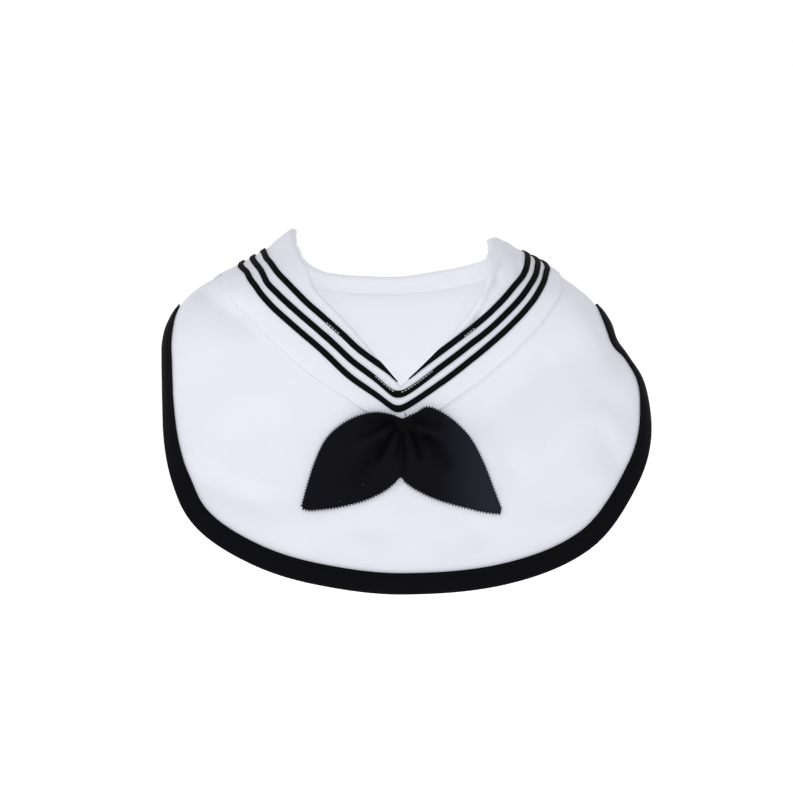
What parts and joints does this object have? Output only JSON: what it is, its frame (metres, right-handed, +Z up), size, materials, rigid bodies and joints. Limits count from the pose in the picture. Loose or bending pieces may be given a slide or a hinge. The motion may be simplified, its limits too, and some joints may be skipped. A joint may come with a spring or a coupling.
{
  "type": "sailor collar bib",
  "caption": "Baby's knitted cape bib worn round the neck, with a turned V-neck sailor collar, dark braid stripes, a bound hem and a small tacked neckerchief.",
  "frame": {"origin": "centre of the neck opening, level with the tops of the shoulders, where the collar sits on the wearer's neck", "axes": "+X to the viewer's right when seen from the front, -Y to the front, +Z up along the neck"},
  "size_m": [0.2692, 0.1394, 0.1925],
  "materials": {
    "white_knit": "soft matt cotton interlock knit, white with a cool cast",
    "collar_knit": "the same white knit as the bib, smooth and pressed",
    "black_binding": "black knitted binding, matt",
    "black_braid": "flat black braid, matt, sewn with fine thread",
    "tie_cloth": "thin blue-black cloth, matt, with pinked and overlocked edges",
    "sewing_thread": "black sewing thread"
  },
  "bodies": {
    "root": {"bib_panel": "white_knit", "sailor_collar": "collar_knit", "edge_binding": "black_binding", "stripe_inner": "black_braid", "stripe_middle": "black_braid", "stripe_outer": "black_braid", "tie_right": "tie_cloth", "tie_left": "tie_cloth", "tie_tack": "sewing_thread"}
  },
  "joints": []
}
